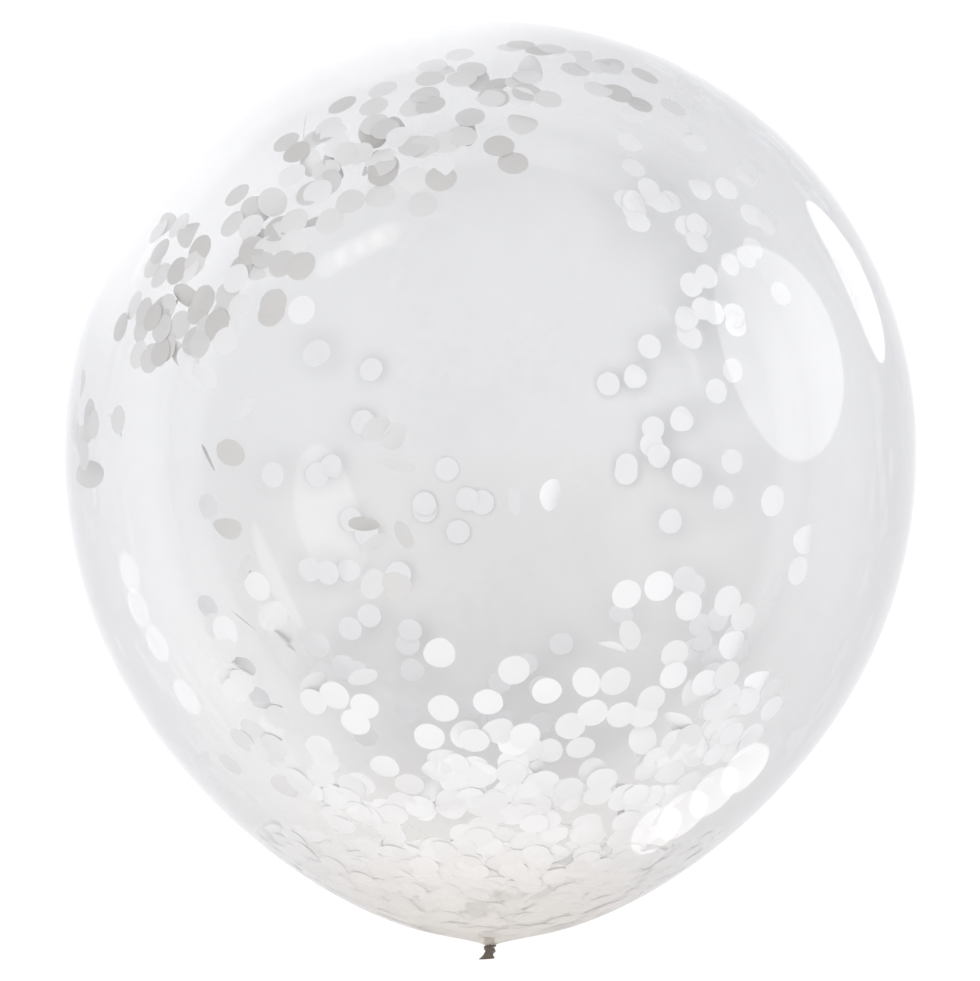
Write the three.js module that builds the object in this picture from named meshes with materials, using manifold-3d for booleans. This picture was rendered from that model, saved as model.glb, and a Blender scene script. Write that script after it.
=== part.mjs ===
// A large clear latex balloon, blown up, knotted at its neck and lying on its side.
// Millimetres, +Z up. The balloon's own axis runs along Y: the crown points to +Y and the knot to -Y.
// The origin is on the floor, on the small flat spot that the balloon rests on, straight below the
// middle of its widest ring. The skin, its neck, the knot and the tail are one moulded piece of latex,
// so they are one solid.

import * as THREE from "three";
import { mergeVertices } from "three/addons/utils/BufferGeometryUtils.js";
import Module from "manifold-3d";

// Body
const bodyWidth = 900; // across the widest ring
const crownHeight = 452; // widest ring to the top of the crown, along the axis
const taperHeight = 519; // widest ring to where the taper's own curve would close
const taperShare = 0.18; // how much slimmer than an ellipse the taper gets at its end
const taperPower = 2.9; // how late along the taper that slimming sets in
const restWidth = 140; // the flat spot that the skin takes on the floor

// Neck, from where it leaves the taper to where it is tied
const neckStart = 0.986; // share of the taper's height at which the neck's shallow cone begins
const neckWidth = 8.8; // across the gathered neck inside the knot
const neckFillet = 2; // how far along the axis the cone takes to turn into the neck

// Knot: the neck wrapped round itself, as two crossing turns, sunk to their middles in the neck
const ropeThickness = 5.8; // the rope that the wrapped neck makes
const wrapStep = 3.4; // the first turn's middle lies this far out from where the cone ends
const wrapTilt = 0.42; // how far the first turn leans off square to the neck, in radians
const crossStep = 3; // from the first turn's middle to that of the turn that locks it
const crossTilt = -0.5;
const crossTuck = 0.7; // how much deeper than the first turn that one sits

// Tail: what is left of the neck past the knot, flattened like a fan, with its rolled lip
const tailLength = 9.3; // second turn's middle to the lip's middle
const tailWidth = 15.6; // across the lip
const tailRoot = 9; // across the fan where it leaves the knot
const tailFlatness = 0.34; // thickness of the fan as a share of its width, at the lip
const rootFlatness = 0.8; // the same where it leaves the knot
const flareStart = 0.6; // share of its length at which the fan opens fastest
const tailDrift = 4; // how far the lip's middle has swung to the balloon's -X side
const tailLean = 0.06; // how far the lip leans off square to the neck, in radians
const lipThickness = 2.2; // the rolled rim of the mouth
const lipArc = 1.25 * Math.PI; // how far round its section the lip stands free of the fan
const mouthDepth = 1.6; // how deep the flattened mouth still opens
const pleatCount = 7;
const pleatDepth = 0.08; // share of the fan's local width

// How finely round things are faceted
const bodySides = 60;
const crownRings = 15;
const taperRings = 16;
const neckRings = 6;
const turnSides = 22;
const ropeSides = 10;
const tailSides = 28;
const flareRings = 5;
const lipRings = 5;

const bodyRadius = bodyWidth / 2;
const neckRadius = neckWidth / 2;
const quarterTurn = Math.PI / 2;
// The floor cuts the round skin where the skin is as wide as the flat spot.
const axisHeight = Math.sqrt(bodyRadius ** 2 - (restWidth / 2) ** 2);

// Radius of the body at a share of the taper's height, from 0 at the widest ring to 1 where it closes.
function taperRadius(share) {
  return bodyRadius * Math.sqrt(1 - share ** 2) * (1 - taperShare * share ** taperPower);
}

// How far the skin falls back along the axis for each millimetre that it comes in, at a share of the taper.
function taperSlope(share) {
  const step = 1e-4;
  const drop = taperRadius(share - step) - taperRadius(share + step);
  return (2 * step * taperHeight) / drop;
}

// Where the neck's cone, carried straight on from the taper, reaches the neck's own width.
const coneRadius = taperRadius(neckStart);
const coneFall = (coneRadius - neckRadius) * taperSlope(neckStart);
const neckY = -(neckStart * taperHeight + coneFall);
const wrapY = neckY - wrapStep;
const crossY = wrapY - crossStep;
const neckEndY = crossY - ropeThickness / 4; // inside the fan, which starts at crossY

// Half of the balloon's outline, as radius against place on the axis, from the knot to the crown.
function bodyOutline() {
  const coneStart = new THREE.Vector2(coneRadius, -neckStart * taperHeight);
  const coneEnd = new THREE.Vector2(neckRadius, neckY);
  const filletEnd = new THREE.Vector2(neckRadius, neckY - neckFillet);
  const flare = new THREE.QuadraticBezierCurve(filletEnd, coneEnd, coneStart);
  const outline = [new THREE.Vector2(0, neckEndY), new THREE.Vector2(neckRadius, neckEndY)];
  outline.push(...flare.getPoints(neckRings));
  for (let ring = taperRings - 1; ring > 0; ring--) {
    const share = neckStart * Math.sin((quarterTurn * ring) / taperRings);
    outline.push(new THREE.Vector2(taperRadius(share), -taperHeight * share));
  }
  for (let ring = 0; ring < crownRings; ring++) {
    const turn = (quarterTurn * ring) / crownRings;
    outline.push(new THREE.Vector2(bodyRadius * Math.cos(turn), crownHeight * Math.sin(turn)));
  }
  outline.push(new THREE.Vector2(0, crownHeight));
  return outline;
}

// One turn of the neck round itself: a ring of rope, leaning off square to the neck.
function turnOfNeck(ringRadius, tilt, y) {
  const ring = new THREE.TorusGeometry(ringRadius, ropeThickness / 2, ropeSides, turnSides);
  ring.rotateX(quarterTurn);
  ring.rotateZ(tilt);
  ring.translate(0, y, 0);
  return ring;
}

// The fan's outline as a round sleeve: the mouth's floor, the rolled lip, and the flare back to the knot.
function tailOutline() {
  const lipRadius = lipThickness / 2;
  const lipCentre = new THREE.Vector2(tailWidth / 2 - lipRadius, -tailLength);
  const outline = [new THREE.Vector2(0, mouthDepth - tailLength)];
  for (let ring = 0; ring <= lipRings; ring++) {
    const turn = Math.PI + (lipArc * ring) / lipRings;
    const onLip = new THREE.Vector2(Math.cos(turn), Math.sin(turn)).multiplyScalar(lipRadius);
    outline.push(onLip.add(lipCentre));
  }
  const flareEnd = new THREE.Vector2(lipCentre.x, lipRadius - tailLength);
  const flareBend = new THREE.Vector2(tailRoot / 2, -flareStart * tailLength);
  const root = new THREE.Vector2(tailRoot / 2, 0);
  outline.push(...new THREE.QuadraticBezierCurve(flareEnd, flareBend, root).getPoints(flareRings));
  outline.push(new THREE.Vector2(0, 0));
  return outline;
}

// The fan past the knot: the sleeve pleated, flattened and swung to one side.
function tail() {
  const fan = new THREE.LatheGeometry(tailOutline(), tailSides);
  const place = fan.getAttribute("position");
  for (let i = 0; i < place.count; i++) {
    const along = -place.getY(i) / tailLength; // 0 at the knot, 1 at the lip
    const angle = Math.atan2(place.getZ(i), place.getX(i));
    const pleat = 1 + pleatDepth * along * Math.cos(pleatCount * angle);
    const flat = THREE.MathUtils.lerp(rootFlatness, tailFlatness, along);
    place.setX(i, place.getX(i) * pleat - tailDrift * along);
    place.setZ(i, place.getZ(i) * pleat * flat);
  }
  fan.rotateZ(tailLean);
  fan.translate(0, crossY, 0);
  return fan;
}

const wasm = await Module();
wasm.setup();

// A closed geometry as a solid that can be joined and cut.
function solidOf(geometry) {
  const bare = geometry.index ? geometry.toNonIndexed() : geometry.clone();
  bare.deleteAttribute("normal");
  bare.deleteAttribute("uv");
  const merged = mergeVertices(bare, 1e-3);
  const corners = merged.index.array;
  const triVerts = [];
  for (let i = 0; i < corners.length; i += 3) {
    const [a, b, c] = [corners[i], corners[i + 1], corners[i + 2]];
    if (a !== b && b !== c && c !== a) triVerts.push(a, b, c);
  }
  return new wasm.Manifold(
    new wasm.Mesh({
      numProp: 3,
      vertProperties: merged.getAttribute("position").array,
      triVerts: new Uint32Array(triVerts),
    }),
  );
}

function geometryOf(solid) {
  const mesh = solid.getMesh();
  const geometry = new THREE.BufferGeometry();
  geometry.setAttribute("position", new THREE.BufferAttribute(mesh.vertProperties, 3));
  geometry.setIndex(new THREE.BufferAttribute(mesh.triVerts, 1));
  geometry.computeVertexNormals();
  return geometry;
}

// Everything below the floor, in the balloon's own frame, whose axis is at height 0.
function belowFloor() {
  const size = 2 * bodyWidth;
  return new THREE.BoxGeometry(size, size, size).translate(0, 0, -axisHeight - size / 2);
}

function balloon() {
  const body = solidOf(new THREE.LatheGeometry(bodyOutline(), bodySides));
  const wrap = solidOf(turnOfNeck(neckRadius, wrapTilt, wrapY));
  const cross = solidOf(turnOfNeck(neckRadius - crossTuck, crossTilt, crossY));
  const skin = body.add(wrap).add(cross).add(solidOf(tail()));
  return skin.subtract(solidOf(belowFloor()));
}

const clearLatex = new THREE.MeshStandardMaterial({
  color: 0xe4e4e8,
  roughness: 0.12,
  metalness: 0,
  transparent: true,
  opacity: 0.35,
});

const part = new THREE.Group();
const skin = new THREE.Mesh(geometryOf(balloon()), clearLatex);
skin.name = "balloon";
skin.position.set(0, 0, axisHeight);
part.add(skin);

export default part;
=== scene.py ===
"""Looks of a large clear balloon with tissue confetti inside, lying on its side, in metres.

The balloon's own axis is level and runs along Y, crown to +Y and knot to -Y, so the camera looks
straight down on it and sees it as if it stood upright.
"""
import math
import random

import bpy
from mathutils import Matrix, Vector, noise
from mathutils.bvhtree import BVHTree


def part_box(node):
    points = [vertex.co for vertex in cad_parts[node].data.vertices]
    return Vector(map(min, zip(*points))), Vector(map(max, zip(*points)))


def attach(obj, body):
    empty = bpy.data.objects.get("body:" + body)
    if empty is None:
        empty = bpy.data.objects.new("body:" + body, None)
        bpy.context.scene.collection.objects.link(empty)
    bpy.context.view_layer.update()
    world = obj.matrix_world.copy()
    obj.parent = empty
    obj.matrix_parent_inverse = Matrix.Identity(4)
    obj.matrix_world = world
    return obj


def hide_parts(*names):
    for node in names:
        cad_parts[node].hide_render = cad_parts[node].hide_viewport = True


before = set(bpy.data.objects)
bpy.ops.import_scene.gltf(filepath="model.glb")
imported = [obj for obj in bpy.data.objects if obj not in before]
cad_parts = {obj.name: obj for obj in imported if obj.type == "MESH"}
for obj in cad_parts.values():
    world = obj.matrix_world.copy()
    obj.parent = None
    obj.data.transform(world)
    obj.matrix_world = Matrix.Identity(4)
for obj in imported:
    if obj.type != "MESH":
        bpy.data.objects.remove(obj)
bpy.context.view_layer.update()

MM = 0.001

# The skin, from the frame where the frame says it, and otherwise as the solid is made
_, skin_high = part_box("balloon")
BODY_RADIUS = skin_high.x
AXIS_HEIGHT = skin_high.z - BODY_RADIUS
CROWN_HEIGHT = skin_high.y
TAPER_HEIGHT = 519 * MM
TAPER_SHARE = 0.18
TAPER_POWER = 2.9
NECK_START = 0.986
NECK_RADIUS = 4.4 * MM
NECK_FILLET = 2 * MM

# Knot and tail
ROPE_RADIUS = 2.9 * MM
WRAP_STEP = 3.4 * MM
WRAP_TILT = 0.42
CROSS_STEP = 3 * MM
CROSS_TILT = -0.5
CROSS_TUCK = 0.7 * MM
TAIL_LENGTH = 9.3 * MM
TAIL_WIDTH = 15.6 * MM
TAIL_ROOT = 9 * MM
TAIL_FLATNESS = 0.34
ROOT_FLATNESS = 0.8
FLARE_START = 0.6
TAIL_DRIFT = 4 * MM
TAIL_LEAN = 0.06
LIP_RADIUS = 1.1 * MM
LIP_ARC = 1.25 * math.pi
MOUTH_DEPTH = 2.6 * MM
MOUTH_FLOOR = 0.35  # share of the mouth's half width that its floor takes
ROPE_STRANDS = 5  # ridges round the rope's section
ROPE_TURNS = 3  # how often they wind round it in one turn
STRAND_HEIGHT = 0.09  # share of the rope's radius
ROPE_UNEVEN = 0.05
TAIL_PLEATS = 7
TAIL_PLEAT_DEPTH = 0.1
TAIL_CREASES = 13
TAIL_CREASE_DEPTH = 0.05
KNOT_VOXEL = 0.22 * MM

# Confetti: round discs punched from white tissue paper
DISC_RADIUS = 15 * MM
DISC_SIZES = (0.95, 1.03)  # shares of that radius
PAPER_THICKNESS = 0.1 * MM
DISC_SIDES = 18
INNER_RING = 0.55  # where a disc's inner ring of points lies, from its middle to its rim
OUT_OF_ROUND = (0.975, 1.015)
CLING_GAP = 0.5 * MM  # between the film and the nearest disc
LAYER_STEP = 0.16 * MM  # from one disc to the next in a heap
LAYERS = 9
GENTLE_CURL = (0, 1.2)  # mm that a disc's edge lifts
SHARP_CURL = (2, 7)
GENTLE_SHARE = 0.85  # of all the discs
LYING = (0, 0.1)  # tilt, in radians, of a disc that clings
STANDING = (0.5, 1.25)  # and of one that stands off on one edge
STRAY_SHARE = 0.12  # of the discs stand off, where nothing else is said
SHARP_EDGE = 40  # degrees from which a disc's edge is shaded sharp
BESIDE = 11  # pixels from a disc that is placed to a spare one beside it

# Camera
PHOTO_WIDTH = 980
PHOTO_HEIGHT = 981
SENSOR = 36  # mm, along the photo's long side
LENS = 113.7  # mm
CAMERA_DISTANCE = 3.3  # from the balloon's axis
VIEW_CENTRE_Y = -43 * MM  # the photo's middle is this far from the widest ring, towards the knot
PIXELS_PER_RADIAN = LENS / SENSOR * PHOTO_HEIGHT


def colour(code):
    """An sRGB hex colour such as "e8e8ec" as linear RGBA."""
    parts = [int(code[i : i + 2], 16) / 255 for i in (0, 2, 4)]
    linear = [p / 12.92 if p <= 0.04045 else ((p + 0.055) / 1.055) ** 2.4 for p in parts]
    return (*linear, 1.0)


# Camera


def make_camera():
    data = bpy.data.cameras.new("camera")
    data.sensor_width = SENSOR
    data.lens = LENS
    camera = bpy.data.objects.new("camera", data)
    camera.location = (0, VIEW_CENTRE_Y, AXIS_HEIGHT + CAMERA_DISTANCE)
    bpy.context.scene.collection.objects.link(camera)
    bpy.context.scene.camera = camera
    return camera


camera = make_camera()


# Materials


def add(tree, kind, inputs=None, **settings):
    """Adds a node. inputs maps a socket's name or number to a value or to another node's output."""
    made = tree.nodes.new(kind)
    for name, value in settings.items():
        setattr(made, name, value)
    for socket, value in (inputs or {}).items():
        if isinstance(value, bpy.types.NodeSocket):
            tree.links.new(value, made.inputs[socket])
        else:
            made.inputs[socket].default_value = value
    return made


def new_material(name):
    material = bpy.data.materials.new(name)
    material.use_nodes = True
    material.node_tree.nodes.clear()
    return material, material.node_tree


CLOUD_SIZE = 90 * MM
CLOUD_HAZE = (0.02, 0.09)  # share of milkiness between the film's clouds and in them
NECK_HAZE = 0.55  # what the thick skin adds to it
TINT_POWER = 2.2  # how late, towards the rim, the film's grey tint sets in
GLOSS_POWER = 5.0  # and its mirror gloss
GLOSS_STRAIGHT_ON = 0.08
GLOSS_AT_SLANT = 0.92  # what a full slant adds to that
GLOSS_PUCKERED = 0.15  # the same where the skin is thick
FIBRE_SIZE = 2.5 * MM
FIBRE_SHARE = 0.08
LIGHT_THROUGH = 0.1  # share of the paper's light that comes through it
FOLD_SIZE = 3 * MM


def clear_latex():
    """Natural rubber latex, dipped thin, cured and blown up to many times its size.

    To the eye: nearly clear with a faint cool milkiness, glossy as wet glass at a slant, and
    milkier and warmer where the skin is less stretched, by the neck and at the crown's tip.
    """
    material, tree = new_material("clear_dipped_latex")
    gauge = add(tree, "ShaderNodeAttribute", attribute_name="gauge").outputs["Fac"]
    slant = add(tree, "ShaderNodeLayerWeight", {"Blend": 0.5}).outputs["Facing"]
    place = add(tree, "ShaderNodeTexCoord").outputs["Object"]

    # What passes straight through, less where the skin is thick or crossed at a slant
    straight = add(
        tree,
        "ShaderNodeMix",
        {"Factor": gauge, 6: colour("fbfbfb"), 7: colour("f6efe4")},
        data_type="RGBA",
    )
    longer = add(tree, "ShaderNodeMath", {0: slant, 1: TINT_POWER}, operation="POWER")
    tint = add(
        tree,
        "ShaderNodeMix",
        {"Factor": longer.outputs[0], 6: straight.outputs[2], 7: colour("c6c6ca")},
        data_type="RGBA",
    )
    through = add(tree, "ShaderNodeBsdfTransparent", {"Color": tint.outputs[2]})

    # The milkiness, uneven over a hand's breadth, as dipped latex is
    cream = add(
        tree,
        "ShaderNodeMix",
        {"Factor": gauge, 6: colour("f4f4f6"), 7: colour("f3ece2")},
        data_type="RGBA",
    )
    milk_front = add(tree, "ShaderNodeBsdfDiffuse", {"Color": cream.outputs[2]})
    milk_back = add(tree, "ShaderNodeBsdfTranslucent", {"Color": cream.outputs[2]})
    milk = add(tree, "ShaderNodeMixShader", {0: 0.5, 1: milk_front.outputs[0], 2: milk_back.outputs[0]})
    clouds = add(
        tree,
        "ShaderNodeTexNoise",
        {"Vector": place, "Scale": 1 / CLOUD_SIZE, "Detail": 1, "Roughness": 0.5},
    )
    cloudy = add(
        tree,
        "ShaderNodeMapRange",
        {
            "Value": clouds.outputs["Fac"],
            "From Min": 0.3,
            "From Max": 0.7,
            "To Min": CLOUD_HAZE[0],
            "To Max": CLOUD_HAZE[1],
        },
    )
    thick = add(
        tree,
        "ShaderNodeMath",
        {0: gauge, 1: NECK_HAZE, 2: cloudy.outputs[0]},
        operation="MULTIPLY_ADD",
    )
    body = add(
        tree,
        "ShaderNodeMixShader",
        {0: thick.outputs[0], 1: through.outputs[0], 2: milk.outputs[0]},
    )

    # Mirror gloss of the two faces of a thin film: 8 % straight on, all of it at a slant, and less
    # at a slant where the thick skin is puckered
    steep = add(tree, "ShaderNodeMath", {0: slant, 1: GLOSS_POWER}, operation="POWER")
    most = add(
        tree,
        "ShaderNodeMapRange",
        {"Value": gauge, "To Min": GLOSS_AT_SLANT, "To Max": GLOSS_PUCKERED},
    )
    share = add(
        tree,
        "ShaderNodeMath",
        {0: steep.outputs[0], 1: most.outputs[0], 2: GLOSS_STRAIGHT_ON},
        operation="MULTIPLY_ADD",
    )
    gloss = add(tree, "ShaderNodeBsdfGlossy", {"Color": (1, 1, 1, 1), "Roughness": 0.06})
    film = add(
        tree,
        "ShaderNodeMixShader",
        {0: share.outputs[0], 1: body.outputs[0], 2: gloss.outputs[0]},
    )
    add(tree, "ShaderNodeOutputMaterial", {"Surface": film.outputs[0]})
    return material


def tissue_paper():
    """White tissue paper, thin and matt, punched into discs.

    To the eye: soft white with a cloudy formation of fibres, lit by what falls on it and dimmer
    where only the light behind it comes through.
    """
    material, tree = new_material("white_tissue_paper")
    tone = add(tree, "ShaderNodeAttribute", attribute_name="tone").outputs["Fac"]
    place = add(tree, "ShaderNodeTexCoord").outputs["Object"]
    fibres = add(
        tree,
        "ShaderNodeTexNoise",
        {"Vector": place, "Scale": 1 / FIBRE_SIZE, "Detail": 2, "Roughness": 0.65},
    )
    # From white to a warm grey by each disc's greyness: random tone, and painted shade on the backlit
    # discs high on the left
    sheet = add(
        tree,
        "ShaderNodeMix",
        {"Factor": tone, 6: colour("f8f8f9"), 7: colour("b2aea8")},
        data_type="RGBA",
    )
    paper = add(
        tree,
        "ShaderNodeMix",
        {"Factor": FIBRE_SHARE, 6: sheet.outputs[2], 7: fibres.outputs["Fac"]},
        data_type="RGBA",
        blend_type="SOFT_LIGHT",
    )
    creases = add(
        tree,
        "ShaderNodeBump",
        {"Strength": 0.2, "Distance": 0.2 * MM, "Height": fibres.outputs["Fac"]},
    )
    front = add(
        tree,
        "ShaderNodeBsdfDiffuse",
        {"Color": paper.outputs[2], "Roughness": 0.5, "Normal": creases.outputs[0]},
    )
    back = add(
        tree,
        "ShaderNodeBsdfTranslucent",
        {"Color": paper.outputs[2], "Normal": creases.outputs[0]},
    )
    both = add(
        tree,
        "ShaderNodeMixShader",
        {0: LIGHT_THROUGH, 1: front.outputs[0], 2: back.outputs[0]},
    )
    add(tree, "ShaderNodeOutputMaterial", {"Surface": both.outputs[0]})
    return material


def gathered_latex():
    """The same latex in the knot and tail, unstretched and many layers thick.

    To the eye: dull smoky amber, half see-through at best, with a soft shine along its folds.
    """
    material, tree = new_material("gathered_latex")
    place = add(tree, "ShaderNodeTexCoord").outputs["Object"]
    folds = add(
        tree,
        "ShaderNodeTexNoise",
        {"Vector": place, "Scale": 1 / FOLD_SIZE, "Detail": 3, "Roughness": 0.6},
    )
    rubber = add(
        tree,
        "ShaderNodeMix",
        {"Factor": folds.outputs["Fac"], 6: colour("332d29"), 7: colour("6f655c")},
        data_type="RGBA",
    )
    wrinkles = add(
        tree,
        "ShaderNodeBump",
        {"Strength": 0.3, "Distance": 0.3 * MM, "Height": folds.outputs["Fac"]},
    )
    shine = add(
        tree,
        "ShaderNodeBsdfPrincipled",
        {"Base Color": rubber.outputs[2], "Roughness": 0.4, "IOR": 1.52, "Normal": wrinkles.outputs[0]},
    )
    add(tree, "ShaderNodeOutputMaterial", {"Surface": shine.outputs[0]})
    return material


def studio_floor():
    """A sheet of matt white paper, lit to a plain white."""
    material, tree = new_material("studio_floor_paper")
    sheet = add(tree, "ShaderNodeBsdfDiffuse", {"Color": colour("f7f7f7")})
    add(tree, "ShaderNodeOutputMaterial", {"Surface": sheet.outputs[0]})
    return material


# The skin


def taper_radius(share):
    """Radius of the taper at a share of its height, from 0 at the widest ring to 1 where it closes."""
    return BODY_RADIUS * math.sqrt(1 - share**2) * (1 - TAPER_SHARE * share**TAPER_POWER)


def neck_place():
    """Where the cone that carries the taper on reaches the neck's own width, as a place along Y."""
    step = 1e-4
    drop = taper_radius(NECK_START - step) - taper_radius(NECK_START + step)
    slope = 2 * step * TAPER_HEIGHT / drop
    return -(NECK_START * TAPER_HEIGHT + (taper_radius(NECK_START) - NECK_RADIUS) * slope)


NECK_Y = neck_place()
WRAP_Y = NECK_Y - WRAP_STEP
CROSS_Y = WRAP_Y - CROSS_STEP

NECK_RINGS = 14
TAPER_RINGS = 76
CROWN_RINGS = 64
SKIN_SIDES = 168


def skin_outline():
    """(radius, y) of each ring of the skin, from inside the knot to the crown."""
    cone_start = Vector((taper_radius(NECK_START), -NECK_START * TAPER_HEIGHT))
    bend = Vector((NECK_RADIUS, NECK_Y))
    neck_end = Vector((NECK_RADIUS, NECK_Y - NECK_FILLET))
    outline = [(NECK_RADIUS, CROSS_Y)]
    for ring in range(NECK_RINGS + 1):
        t = ring / NECK_RINGS
        point = (1 - t) ** 2 * neck_end + 2 * t * (1 - t) * bend + t**2 * cone_start
        outline.append(tuple(point))
    for ring in range(TAPER_RINGS - 1, 0, -1):
        share = NECK_START * math.sin(math.pi / 2 * ring / TAPER_RINGS)
        outline.append((taper_radius(share), -TAPER_HEIGHT * share))
    for ring in range(CROWN_RINGS):
        turn = math.pi / 2 * ring / CROWN_RINGS
        outline.append((BODY_RADIUS * math.cos(turn), CROWN_HEIGHT * math.sin(turn)))
    return outline


PLEATS = 11
FINE_PLEATS = 17
FINE_PLEAT_SHARE = 0.6  # their depth as a share of the others'
FINE_PLEAT_SHIFT = 1.3  # in radians, so that the two kinds don't line up
PLEAT_DEPTH = 0.45 * MM
PLEAT_REACH = 16 * MM  # the pleats die away over this distance from the neck
THICK_REACH = 230 * MM  # so does the skin's extra thickness
CROWN_TIP_REACH = 26 * MM
CROWN_TIP_GAUGE = 0.35


def skin_mesh():
    """Points, faces and gauge of the skin. Gauge is 0 where it is thinnest and 1 at the neck."""
    points, faces, gauge = [], [], []
    rings = skin_outline()
    for radius, y in rings:
        near_neck = y < -TAPER_HEIGHT / 2
        from_neck = max(radius - NECK_RADIUS, 0)
        pleat = PLEAT_DEPTH * math.exp(-from_neck / PLEAT_REACH) if near_neck else 0
        if y < 0:
            thick = math.exp(-((from_neck / THICK_REACH) ** 2))
        else:
            thick = CROWN_TIP_GAUGE * math.exp(-((radius / CROWN_TIP_REACH) ** 2))
        for side in range(SKIN_SIDES):
            angle = 2 * math.pi * side / SKIN_SIDES
            fine = FINE_PLEAT_SHARE * math.cos(FINE_PLEATS * angle + FINE_PLEAT_SHIFT)
            lift = pleat * (math.cos(PLEATS * angle) + fine)
            z = AXIS_HEIGHT + radius * math.cos(angle)
            points.append((radius * math.sin(angle), y + lift, max(z, 0)))
            gauge.append(thick)
    for ring in range(len(rings) - 1):
        for side in range(SKIN_SIDES):
            a = ring * SKIN_SIDES + side
            b = ring * SKIN_SIDES + (side + 1) % SKIN_SIDES
            faces.append((a, b, b + SKIN_SIDES, a + SKIN_SIDES))
    knot_pole = len(points)
    points.append((0, CROSS_Y, AXIS_HEIGHT))
    crown_pole = len(points)
    points.append((0, CROWN_HEIGHT, AXIS_HEIGHT))
    gauge += [1, CROWN_TIP_GAUGE]
    last = (len(rings) - 1) * SKIN_SIDES
    for side in range(SKIN_SIDES):
        after = (side + 1) % SKIN_SIDES
        faces.append((after, side, knot_pole))
        faces.append((last + side, last + after, crown_pole))
    return points, faces, gauge


def make_object(name, points, faces, material, slot, **attributes):
    """A smooth mesh object on the balloon's body, with a value at each point for each attribute."""
    mesh = bpy.data.meshes.new(name)
    mesh.from_pydata(points, [], faces)
    mesh.validate()
    for attribute, values in attributes.items():
        layer = mesh.attributes.new(attribute, "FLOAT", "POINT")
        layer.data.foreach_set("value", values)
    mesh.shade_smooth()
    mesh.materials.append(material)
    made = bpy.data.objects.new(name, mesh)
    bpy.context.scene.collection.objects.link(made)
    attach(made, "root")
    return made


skin_points, skin_faces, skin_gauge = skin_mesh()
skin = make_object("skin", skin_points, skin_faces, clear_latex(), "clear_latex", gauge=skin_gauge)
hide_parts("balloon")
inside = BVHTree.FromPolygons(skin_points, skin_faces)


# The knot and the tail


def rope_turn(ring_radius, tilt, y, points, faces):
    """One turn of the neck round itself: a ring of twisted rope about the neck."""
    around, along = 18, 48
    first = len(points)
    lean = Matrix.Rotation(tilt, 3, "Z")
    for i in range(along):
        turn = 2 * math.pi * i / along
        out = Vector((math.sin(turn), 0, math.cos(turn)))
        for j in range(around):
            section = 2 * math.pi * j / around
            strands = STRAND_HEIGHT * math.cos(ROPE_STRANDS * section + ROPE_TURNS * turn)
            reach = ROPE_RADIUS * (1 + strands + ROPE_UNEVEN * math.cos(2 * turn + 1))
            point = out * (ring_radius + reach * math.cos(section))
            point += Vector((0, reach * math.sin(section), 0))
            points.append(lean @ point + Vector((0, y, AXIS_HEIGHT)))
    for i in range(along):
        for j in range(around):
            a = first + i * around + j
            b = first + i * around + (j + 1) % around
            c = first + (i + 1) % along * around + (j + 1) % around
            d = first + (i + 1) % along * around + j
            faces.append((a, b, c, d))


def tail_fan(points, faces):
    """The fan past the knot: a pleated sleeve, flattened and swung to one side, with a rolled lip."""
    around, lip_steps, flare_steps = 64, 8, 12
    mouth = TAIL_WIDTH / 2 - LIP_RADIUS
    outline = [(mouth * MOUTH_FLOOR, MOUTH_DEPTH - TAIL_LENGTH)]
    for step in range(lip_steps + 1):
        turn = math.pi + LIP_ARC * step / lip_steps
        y = -TAIL_LENGTH + LIP_RADIUS * math.sin(turn)
        outline.append((mouth + LIP_RADIUS * math.cos(turn), y))
    for step in range(flare_steps + 1):
        t = step / flare_steps
        radius = (1 - t) ** 2 * mouth + 2 * t * (1 - t) * TAIL_ROOT / 2 + t**2 * TAIL_ROOT / 2
        y = (1 - t) ** 2 * (LIP_RADIUS - TAIL_LENGTH) - 2 * t * (1 - t) * FLARE_START * TAIL_LENGTH
        outline.append((radius, y))
    first = len(points)
    lean = Matrix.Rotation(TAIL_LEAN, 3, "Z")
    for radius, y in outline:
        down = -y / TAIL_LENGTH
        flat = ROOT_FLATNESS + (TAIL_FLATNESS - ROOT_FLATNESS) * down
        for side in range(around):
            angle = 2 * math.pi * side / around
            pleat = 1 + TAIL_PLEAT_DEPTH * down * math.cos(TAIL_PLEATS * angle)
            pleat += TAIL_CREASE_DEPTH * down * math.cos(TAIL_CREASES * angle + 2)
            x = radius * pleat * math.cos(angle) - TAIL_DRIFT * down
            z = radius * pleat * flat * math.sin(angle)
            points.append(lean @ Vector((x, y, z)) + Vector((0, CROSS_Y, AXIS_HEIGHT)))
    for ring in range(len(outline) - 1):
        for side in range(around):
            a = first + ring * around + side
            b = first + ring * around + (side + 1) % around
            faces.append((a, b, b + around, a + around))
    faces.append([first + side for side in reversed(range(around))])
    faces.append([first + (len(outline) - 1) * around + side for side in range(around)])


def make_knot():
    """Both turns and the tail, fused into one skin as wet latex folds fuse to the eye."""
    points, faces = [], []
    rope_turn(NECK_RADIUS, WRAP_TILT, WRAP_Y, points, faces)
    rope_turn(NECK_RADIUS - CROSS_TUCK, CROSS_TILT, CROSS_Y, points, faces)
    tail_fan(points, faces)
    knot = make_object("knot_and_tail", points, faces, gathered_latex(), "clear_latex")
    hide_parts("balloon")
    fuse = knot.modifiers.new("fuse", "REMESH")
    fuse.mode = "VOXEL"
    fuse.voxel_size = KNOT_VOXEL
    fuse.use_smooth_shade = True
    soften = knot.modifiers.new("soften", "SMOOTH")
    soften.factor = 0.5
    soften.iterations = 3
    evaluated = knot.evaluated_get(bpy.context.evaluated_depsgraph_get())
    fused = bpy.data.meshes.new_from_object(evaluated)
    knot.modifiers.clear()
    knot.data = fused


make_knot()
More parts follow.
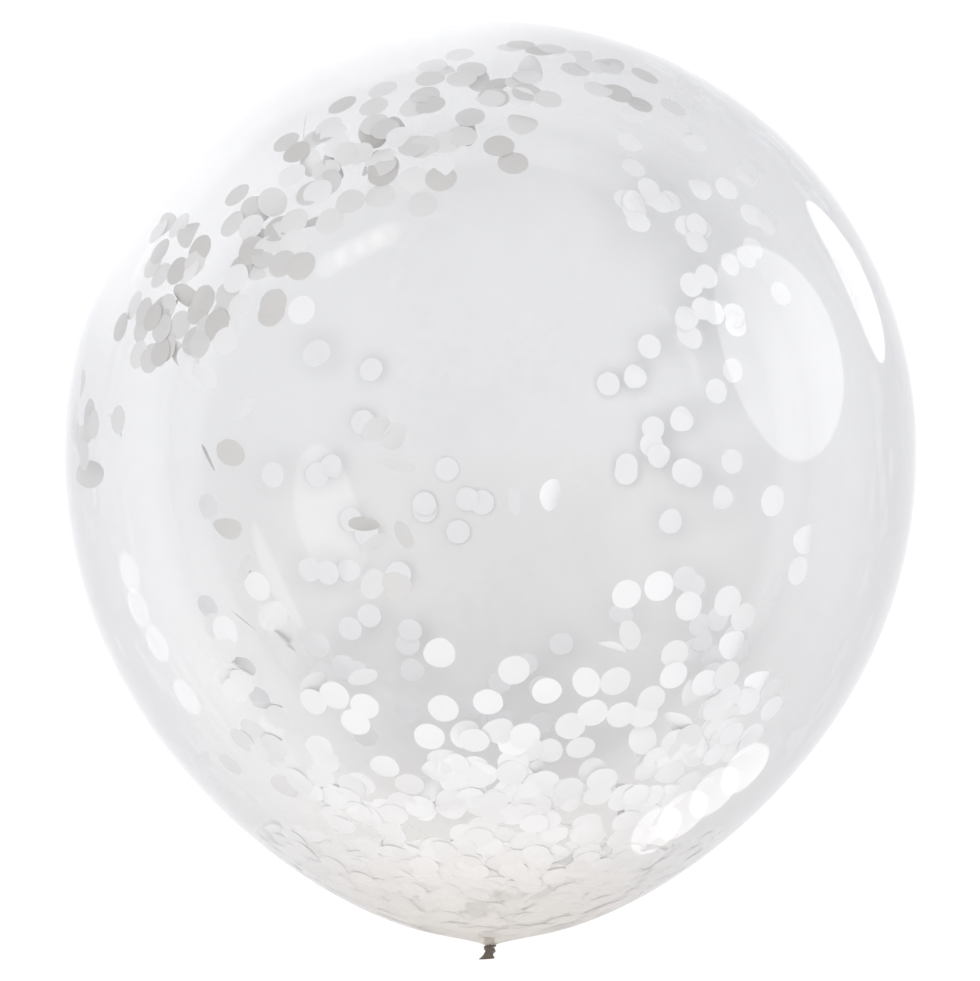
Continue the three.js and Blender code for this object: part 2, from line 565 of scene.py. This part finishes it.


# Confetti


# Greyness of the tissue by group, from 0 for white to 1: random tone within each range, and
# for the discs high on the left a darker range that is painted shade, as they are lit from behind
PALE = (0, 0.04)
BRIGHT = (0, 0.12)
WHITE = (0.06, 0.2)
DULL = (0.08, 0.28)
BACKLIT_SHADE = (0.15, 0.66)
WARM = (0, 0.1)
CLUMPED = (0.25, 0.5)


def seen_at(pixel):
    """The direction in which the camera sees a pixel of the photo."""
    right = (pixel[0] - PHOTO_WIDTH / 2) / PIXELS_PER_RADIAN
    up = (PHOTO_HEIGHT / 2 - pixel[1]) / PIXELS_PER_RADIAN
    return Vector((right, up, -1)).normalized()


def on_skin(pixel, far):
    """The place on the skin that the photo shows at a pixel, and the way inward there, or None.

    far takes the skin at the back, seen through the front.
    """
    way = seen_at(pixel)
    spot, out, _, _ = inside.ray_cast(camera.location, way)
    if spot is None:
        return None
    if far:
        spot, out, _, _ = inside.ray_cast(spot + way * MM, way)
        if spot is None:
            return None
    centre = Vector((0, spot.y, AXIS_HEIGHT))
    inward = -out if out.dot(spot - centre) > 0 else out
    return spot, inward


def lay_disc(batch, spot, inward, chance, layer=None, stray=STRAY_SHARE, tones=WHITE):
    """Adds one disc of tissue that clings to the skin at spot.

    batch holds the points, faces and greyness so far; chance is its own random numbers. Most discs
    lie flat or a little curled, and a share of them, stray, stand off the skin on one edge.
    The range of their greyness runs from 0 for white to 1: random tone, and for the backlit discs
    high on the left, painted shade.
    """
    spin = chance.uniform(0, 2 * math.pi)
    across = inward.orthogonal().normalized()
    across.rotate(Matrix.Rotation(spin, 3, inward))
    along = inward.cross(across)
    radius = DISC_RADIUS * chance.uniform(*DISC_SIZES)
    curls = GENTLE_CURL if chance.random() < GENTLE_SHARE else SHARP_CURL
    curl = chance.uniform(*curls) * MM
    curl_way = chance.uniform(0, math.pi)
    tilts = STANDING if chance.random() < stray else LYING
    tilt = chance.uniform(*tilts)
    level = chance.randrange(LAYERS) if layer is None else layer
    base = CLING_GAP + LAYER_STEP * level
    tone = chance.uniform(*tones)
    wobble = [radius * chance.uniform(*OUT_OF_ROUND) for _ in range(DISC_SIDES)]
    first = len(batch["points"])
    rings = [0] + [INNER_RING] * DISC_SIDES + [1] * DISC_SIDES
    for face in (0, PAPER_THICKNESS):
        for i, reach in enumerate(rings):
            side = (i - 1) % DISC_SIDES
            angle = 2 * math.pi * side / DISC_SIDES
            u = reach * wobble[side] * math.cos(angle)
            v = reach * wobble[side] * math.sin(angle)
            bend = (u * math.cos(curl_way) + v * math.sin(curl_way)) / radius
            follow = (u * u + v * v) / (2 * BODY_RADIUS)
            depth = face + follow + curl * bend * bend
            lifted = depth * math.cos(tilt) + (u + radius) * math.sin(tilt)
            shifted = u * math.cos(tilt) - depth * math.sin(tilt)
            batch["points"].append(spot + across * shifted + along * v + inward * (base + lifted))
            batch["tone"].append(tone)
    n = DISC_SIDES
    over = 1 + 2 * n  # from a point of the lower face to the same point of the upper one
    for side in range(n):
        after = (side + 1) % n
        inner, inner_after = first + 1 + side, first + 1 + after
        rim, rim_after = inner + n, inner_after + n
        batch["faces"].append((first, inner_after, inner))
        batch["faces"].append((inner, inner_after, rim_after, rim))
        batch["faces"].append((first + over, inner + over, inner_after + over))
        batch["faces"].append((inner_after + over, inner + over, rim + over, rim_after + over))
        batch["faces"].append((rim, rim_after, rim_after + over, rim + over))


def new_batch():
    return {"points": [], "faces": [], "tone": []}


paper = tissue_paper()


def finish_batch(name, batch):
    points, faces, tone = batch["points"], batch["faces"], batch["tone"]
    made = make_object(name, points, faces, paper, "tissue_paper", tone=tone)
    made.data.set_sharp_from_angle(angle=math.radians(SHARP_EDGE))


def place_discs(name, seed, far, places, stray=STRAY_SHARE, spare=0, tones=WHITE):
    """Lays a disc at each place, which is a pixel of the photo, and spare more just beside some."""
    chance = random.Random(seed)
    batch = new_batch()
    beside = [chance.choice(places) for _ in range(spare)]
    beside = [(x + chance.gauss(0, BESIDE), y + chance.gauss(0, BESIDE)) for x, y in beside]
    for pixel in [*places, *beside]:
        found = on_skin(pixel, far)
        if found:
            lay_disc(batch, *found, chance, stray=stray, tones=tones)
    finish_batch(name, batch)


def scatter_discs(name, seed, far, strands, stray=STRAY_SHARE, tones=WHITE):
    """Strews discs along strands. Each strand is its path in pixels, its half width and its count."""
    chance = random.Random(seed)
    batch = new_batch()
    for path, half_width, count in strands:
        legs = list(zip(path, path[1:]))
        lengths = [math.dist(a, b) for a, b in legs]
        for _ in range(count):
            (x0, y0), (x1, y1) = chance.choices(legs, lengths)[0]
            t = chance.random()
            x = x0 + (x1 - x0) * t + chance.gauss(0, half_width / 2)
            y = y0 + (y1 - y0) * t + chance.gauss(0, half_width / 2)
            found = on_skin((x, y), far)
            if found:
                lay_disc(batch, *found, chance, stray=stray, tones=tones)
    finish_batch(name, batch)


# Where single discs show, as pixels of the photo
LEFT_EDGE = [(75, 475), (83, 456), (78, 440), (106, 425), (87, 412), (80, 383), (86, 430)]
UPPER_LEFT_LOW = [
    (131, 304), (142, 311), (159, 309), (161, 305), (139, 328), (161, 328), (178, 324), (137, 354),
    (159, 352), (171, 352), (182, 359), (198, 343), (224, 341), (196, 374), (158, 250), (158, 274),
    (176, 270), (176, 291), (192, 263), (198, 248), (185, 231), (161, 224), (196, 309), (202, 299),
    (221, 311), (226, 293), (235, 278), (239, 307), (270, 311), (272, 302), (300, 309),
]
UPPER_LEFT_MIDDLE = [
    (235, 193), (250, 203), (267, 196), (230, 222), (250, 226), (250, 236), (250, 252), (257, 265),
    (277, 233), (281, 263), (300, 265), (292, 242), (293, 220), (306, 213), (329, 220), (349, 200),
    (309, 192), (317, 191), (326, 181), (291, 174), (306, 155), (328, 157), (285, 140), (298, 115),
    (328, 125), (324, 131), (341, 102),
]
UPPER_LEFT_HIGH = [
    (382, 87), (373, 105), (369, 124), (374, 122), (394, 119), (400, 135), (413, 144), (365, 152),
    (383, 164), (382, 172), (413, 177), (439, 164), (441, 177), (422, 203), (430, 77), (432, 64),
    (424, 92), (430, 103), (438, 123), (445, 140), (470, 115), (467, 118), (459, 52), (472, 67),
    (496, 73), (491, 97), (499, 144), (513, 161),
]
CROWN = [
    (521, 42), (534, 56), (527, 74), (520, 94), (548, 98), (523, 119), (552, 47), (576, 67),
    (580, 50), (599, 87), (618, 91), (612, 60), (640, 101), (646, 73), (674, 105),
]
MIDDLE_LEFT = [
    (234, 408), (225, 453), (198, 458), (391, 436), (396, 466), (373, 428), (359, 527), (370, 546),
    (401, 537), (395, 587), (369, 587), (220, 531), (237, 571), (245, 585), (256, 587), (266, 620),
    (275, 635), (278, 646), (236, 626), (261, 713), (308, 691),
]
MIDDLE_RIGHT = [(774, 501), (809, 540), (799, 571)]
ON_EDGE = [(554, 496), (516, 502)]
LOWER = [
    (439, 655), (443, 710), (429, 738), (442, 763), (474, 742), (474, 771), (488, 703), (547, 692),
    (514, 671), (384, 769), (616, 655), (634, 639), (589, 688), (616, 682), (593, 714), (622, 716),
    (571, 728), (581, 749), (676, 655), (674, 676), (652, 700), (697, 696), (359, 683), (334, 696),
    (364, 707), (355, 723), (312, 703), (318, 750), (285, 765), (320, 778), (351, 787), (409, 786),
    (498, 734), (525, 737), (548, 754), (529, 751), (627, 595), (660, 587), (690, 607), (729, 602),
    (745, 618), (735, 646), (727, 676), (712, 709), (690, 738), (682, 751), (774, 692),
]
FAR_BRIGHT = [
    (362, 422), (447, 469), (425, 510), (458, 532), (467, 499), (350, 520), (316, 475), (272, 475),
    (309, 570), (347, 571), (654, 428), (660, 456), (692, 475), (717, 391), (693, 337), (701, 227),
    (670, 200), (635, 166), (631, 141), (695, 141), (752, 167), (767, 223),
]

# The discs at the left edge, high on the left, on the crown and at the middle left are drawn greyer:
# painted shade, as they are lit from behind
place_discs("confetti_left_edge", 11, False, LEFT_EDGE, spare=4, tones=BACKLIT_SHADE)
place_discs("confetti_upper_left_low", 12, False, UPPER_LEFT_LOW, spare=12, tones=BACKLIT_SHADE)
place_discs("confetti_upper_left_middle", 13, False, UPPER_LEFT_MIDDLE, spare=12, tones=BACKLIT_SHADE)
place_discs("confetti_upper_left_high", 14, False, UPPER_LEFT_HIGH, spare=12, tones=BACKLIT_SHADE)
place_discs("confetti_crown", 15, False, CROWN, spare=6, tones=BACKLIT_SHADE)
place_discs("confetti_middle_left", 16, False, MIDDLE_LEFT, stray=0.9, tones=BACKLIT_SHADE)
place_discs("confetti_middle_right", 19, False, MIDDLE_RIGHT, stray=0, tones=PALE)
place_discs("confetti_on_edge", 27, False, ON_EDGE, stray=1, tones=PALE)
place_discs("confetti_lower", 17, False, LOWER)
place_discs("confetti_far", 18, True, FAR_BRIGHT, stray=0, tones=PALE)

# Strands of discs too many to show one by one: path in pixels of the photo, half width, count
LOWER_STRANDS = [
    ([(440, 780), (560, 790)], 30, 34),
    ([(300, 800), (420, 815), (540, 815), (600, 790)], 26, 44),
    ([(630, 805), (690, 755), (740, 710)], 42, 64),
]
LOWER_LEFT_STRANDS = [([(215, 660), (250, 735), (300, 790)], 44, 26)]
FAR_STRANDS = [
    ([(600, 140), (700, 180), (735, 270), (735, 370)], 70, 32),
    ([(660, 200), (690, 330), (680, 470)], 110, 14),
    ([(230, 430), (330, 480), (400, 600)], 130, 15),
    ([(300, 640), (500, 700), (700, 660), (780, 600)], 70, 30),
]
scatter_discs("confetti_lower_strands", 21, False, LOWER_STRANDS, tones=BRIGHT)
scatter_discs("confetti_lower_left", 24, False, LOWER_LEFT_STRANDS, tones=DULL)
scatter_discs("confetti_far_strands", 22, True, FAR_STRANDS, stray=0.03, tones=PALE)

# The darker clump just inside the knot
KNOT_STRANDS = [([(485, 900), (488, 934)], 14, 9), ([(495, 892), (550, 898)], 12, 7)]
scatter_discs("confetti_by_knot", 23, False, KNOT_STRANDS, stray=0, tones=CLUMPED)

# The heap that fills the taper by the neck. Distances are from the widest ring.
HEAP_UPPER = 412 * MM  # the top of its packed middle, on the skin's upper side
HEAP_LOWER = 490 * MM  # and on its lower side
HEAP_MIDDLE = Vector((0, -(HEAP_UPPER + HEAP_LOWER) / 2, AXIS_HEIGHT))
HEAP_UNEVEN = 9 * MM
HEAP_WAVES = 2.5  # how quickly its top rises and falls around the neck
HEAP_FRINGE = 50 * MM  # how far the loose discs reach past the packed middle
FRINGE_MEAN = 0.6  # share of that reach halfway round
FRINGE_SWING = 0.4  # more than that on the upper side, and as much less on the lower
HEAP_DEPTH = 4 * MM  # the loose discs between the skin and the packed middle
HEAP_LUMP = 2 * MM
TOP_LUMPS = (22 * MM, 9 * MM)  # across the large and the small lumps of its top
SIDE_LUMPS = (18 * MM, 8 * MM)  # and of its side
HEAP_COUNT = 1250
HEAP_LAYERS = 14
HEAP_THINNING = 1.5  # how late, from the heap's edge, its loose discs get dense
CAP_COUNT = 260
CAP_REACH = 0.9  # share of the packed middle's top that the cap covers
CAP_BED = 4  # the lowest layer of the cap
CAP_LEAN = 0.25  # how unevenly its discs lean, and the next, how far they lean down
CAP_FALL = -0.2


def heap_top(angle):
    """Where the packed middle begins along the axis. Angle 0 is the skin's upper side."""
    level = HEAP_UPPER + (HEAP_LOWER - HEAP_UPPER) * (1 - math.cos(angle)) / 2
    round_neck = Vector((HEAP_WAVES * math.sin(angle), 0, HEAP_WAVES * math.cos(angle)))
    return level + HEAP_UNEVEN * noise.noise(round_neck)


def lump(point, sizes):
    """How far a lumpy surface stands out at a point, about -1 to 1."""
    large, small = sizes
    return noise.noise(point / large) + 0.5 * noise.noise(point / small)


def taper_place(share, angle):
    """A point of the taper's skin and the way inward there. Angle 0 is its upper side."""
    step = 1e-3
    fall = (taper_radius(share + step) - taper_radius(share - step)) / (2 * step * TAPER_HEIGHT)
    out = Vector((math.sin(angle), 0, math.cos(angle)))
    spot = out * taper_radius(share) + Vector((0, -share * TAPER_HEIGHT, AXIS_HEIGHT))
    return spot, (Vector((0, -fall, 0)) - out).normalized()


def packed_middle():
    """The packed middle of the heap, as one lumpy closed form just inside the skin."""
    rings, sides = 26, 120
    points, faces = [], []
    for ring in range(1, rings):
        reach = ring / rings  # over the top, out to the skin
        for side in range(sides):
            angle = 2 * math.pi * side / sides
            spot, inward = taper_place(heap_top(angle) / TAPER_HEIGHT, angle)
            point = HEAP_MIDDLE + (spot + inward * HEAP_DEPTH - HEAP_MIDDLE) * reach
            points.append(point + Vector((0, 2 * HEAP_LUMP * lump(point, TOP_LUMPS), 0)))
    for ring in range(rings + 1):
        for side in range(sides):
            angle = 2 * math.pi * side / sides
            top_share = heap_top(angle) / TAPER_HEIGHT
            share = top_share + (NECK_START - top_share) * math.sin(math.pi / 2 * ring / rings)
            spot, inward = taper_place(share, angle)
            room = min(HEAP_DEPTH, taper_radius(share) * 0.3)  # less in the narrow neck
            height = min(HEAP_LUMP, room * 0.4)
            points.append(spot + inward * (room + height * lump(spot, SIDE_LUMPS)))
    last = 2 * rings - 1
    for ring in range(last):
        for side in range(sides):
            a, b = ring * sides + side, ring * sides + (side + 1) % sides
            faces.append((a, b, b + sides, a + sides))
    faces.append([side for side in reversed(range(sides))])
    faces.append([last * sides + side for side in range(sides)])
    tone = [WARM[1]] * len(points)
    make_object("confetti_packed_middle", points, faces, paper, "tissue_paper", tone=tone)


def heap_by_neck():
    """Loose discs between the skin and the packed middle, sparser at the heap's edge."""
    chance = random.Random(31)
    batch = new_batch()
    laid = 0
    while laid < HEAP_COUNT:
        angle = chance.uniform(0, 2 * math.pi)
        fringe = HEAP_FRINGE * (FRINGE_MEAN + FRINGE_SWING * math.cos(angle))
        edge = heap_top(angle) - fringe
        place = chance.uniform(edge, TAPER_HEIGHT * NECK_START)
        share = place / TAPER_HEIGHT
        full = min(1, (place - edge) / fringe) ** HEAP_THINNING
        room = taper_radius(share)
        # Fewer where the taper is narrow, so that the skin is covered evenly
        if chance.random() * BODY_RADIUS * 0.8 > room * full or room < DISC_RADIUS:
            continue
        spot, inward = taper_place(share, angle)
        layer = chance.randrange(HEAP_LAYERS)
        lay_disc(batch, spot, inward, chance, layer=layer, stray=0.03, tones=WARM)
        laid += 1
    finish_batch("confetti_heap_by_neck", batch)


def heap_cap():
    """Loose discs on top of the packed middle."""
    chance = random.Random(32)
    batch = new_batch()
    for _ in range(CAP_COUNT):
        angle = chance.uniform(0, 2 * math.pi)
        rim, rim_inward = taper_place(heap_top(angle) / TAPER_HEIGHT, angle)
        reach = CAP_REACH * math.sqrt(chance.random())
        spot = HEAP_MIDDLE + (rim + rim_inward * HEAP_DEPTH - HEAP_MIDDLE) * reach
        inward = Vector((chance.gauss(0, CAP_LEAN), 1, chance.gauss(CAP_FALL, CAP_LEAN)))
        layer = chance.randrange(CAP_BED, 2 * HEAP_LAYERS)
        lay_disc(batch, spot, inward.normalized(), chance, layer=layer, stray=0.1, tones=PALE)
    finish_batch("confetti_heap_cap", batch)


packed_middle()
heap_by_neck()
heap_cap()


# Studio


def make_floor():
    half = 20  # m, so that its edge is out of sight
    corners = [(-half, -half, -MM), (half, -half, -MM), (half, half, -MM), (-half, half, -MM)]
    mesh = bpy.data.meshes.new("floor")
    mesh.from_pydata(corners, [], [(0, 1, 2, 3)])
    mesh.materials.append(studio_floor())
    floor = bpy.data.objects.new("floor", mesh)
    bpy.context.scene.collection.objects.link(floor)


BALLOON_MIDDLE = (0, 0, AXIS_HEIGHT)
UP = (0, 0, 1)


def softbox(name, way, distance, size, watts, aim=BALLOON_MIDDLE, mirrored=False):
    """A soft light that stands off in a direction from aim and faces it. No camera sees it.

    size is its width and height. A mirrored one is an oval that shows only as a reflection. Any
    other is oblong, lights what is matt and isn't reflected.
    """
    data = bpy.data.lights.new(name, "AREA")
    data.shape = "ELLIPSE" if mirrored else "RECTANGLE"
    data.size, data.size_y = size
    data.energy = watts
    light = bpy.data.objects.new(name, data)
    away = Vector(way).normalized()
    light.location = Vector(aim) + away * distance
    light.rotation_euler = away.to_track_quat("Z", "Y").to_euler()
    light.visible_camera = False
    light.visible_diffuse = not mirrored
    light.visible_glossy = mirrored
    bpy.context.scene.collection.objects.link(light)


TOWARDS_FLOOR = 0.85  # a glint below the skin goes no further than this share of the way down


def glint(name, pixel, distance, size, radiance, rings=1):
    """An oval light that stands where the photo's camera sees it mirrored in the skin at a pixel.

    More rings, one oval inside another, give it a soft edge.
    """
    spot, inward = on_skin(pixel, far=False)
    away = seen_at(pixel).reflect(inward)
    if away.z < 0:
        distance = min(distance, -TOWARDS_FLOOR * spot.z / away.z)
    for ring in range(rings):
        width, height = [side * (ring + 1) / rings for side in size]
        watts = radiance / rings * math.pi * math.pi / 4 * width * height
        oval = f"{name}_{ring + 1}"
        softbox(oval, away, distance, (width, height), watts, aim=spot, mirrored=True)


# Where windows mirrored in the skin show, as pixels of the photo
RIGHT_GLINT = (781, 352)
RIGHT_RIM_GLINT = (852, 277)
LEFT_RIM_GLINTS = [(131, 574), (140, 606), (158, 645), (187, 695)]
LOWER_RIGHT_GLINTS = [(655, 829), (681, 813), (714, 790), (745, 768)]


def make_lights():
    """Soft boxes high over the floor, patches just over it that only whiten it, and the glints."""
    large = (9, 9)
    middling = (5.6, 5.6)
    softbox("overhead", way=(-0.08, -0.02, 1), distance=12, size=large, watts=1260)
    softbox("fill_left", way=(-0.6, -0.1, 0.8), distance=8, size=middling, watts=30)
    softbox("fill_neck", way=(0.2, -0.6, 0.75), distance=8, size=middling, watts=80)

    left, upper_left, top = (-0.36, -0.07, 0), (-0.82, 0.75, 0), (-0.3, 1.1, 0)
    softbox("floor_left", UP, distance=0.1, size=(0.5, 0.9), watts=0.08, aim=left)
    softbox("floor_upper_left", UP, distance=0.15, size=(0.9, 0.9), watts=1.9, aim=upper_left)
    softbox("floor_top", UP, distance=0.15, size=(0.7, 0.8), watts=1.6, aim=top)

    glint("window_right", RIGHT_GLINT, distance=0.4, size=(0.52, 0.42), radiance=1.3)
    rim_size = (0.31, 0.15)
    glint("window_right_rim", RIGHT_RIM_GLINT, distance=0.4, size=rim_size, radiance=2.8, rings=2)
    for i, pixel in enumerate(LEFT_RIM_GLINTS):
        name = f"window_left_rim_{i + 1}"
        glint(name, pixel, distance=0.4, size=(0.075, 0.085), radiance=2.4, rings=3)
    for i, pixel in enumerate(LOWER_RIGHT_GLINTS):
        name = f"window_lower_right_{i + 1}"
        glint(name, pixel, distance=0.5, size=(0.12, 0.195), radiance=2.9, rings=2)


def make_world():
    world = bpy.data.worlds.new("pale_room")
    world.use_nodes = True
    background = world.node_tree.nodes["Background"]
    background.inputs["Color"].default_value = colour("f2f3f6")
    background.inputs["Strength"].default_value = 0.55
    bpy.context.scene.world = world


make_floor()
make_lights()
make_world()
bpy.context.scene.view_settings.view_transform = "Standard"
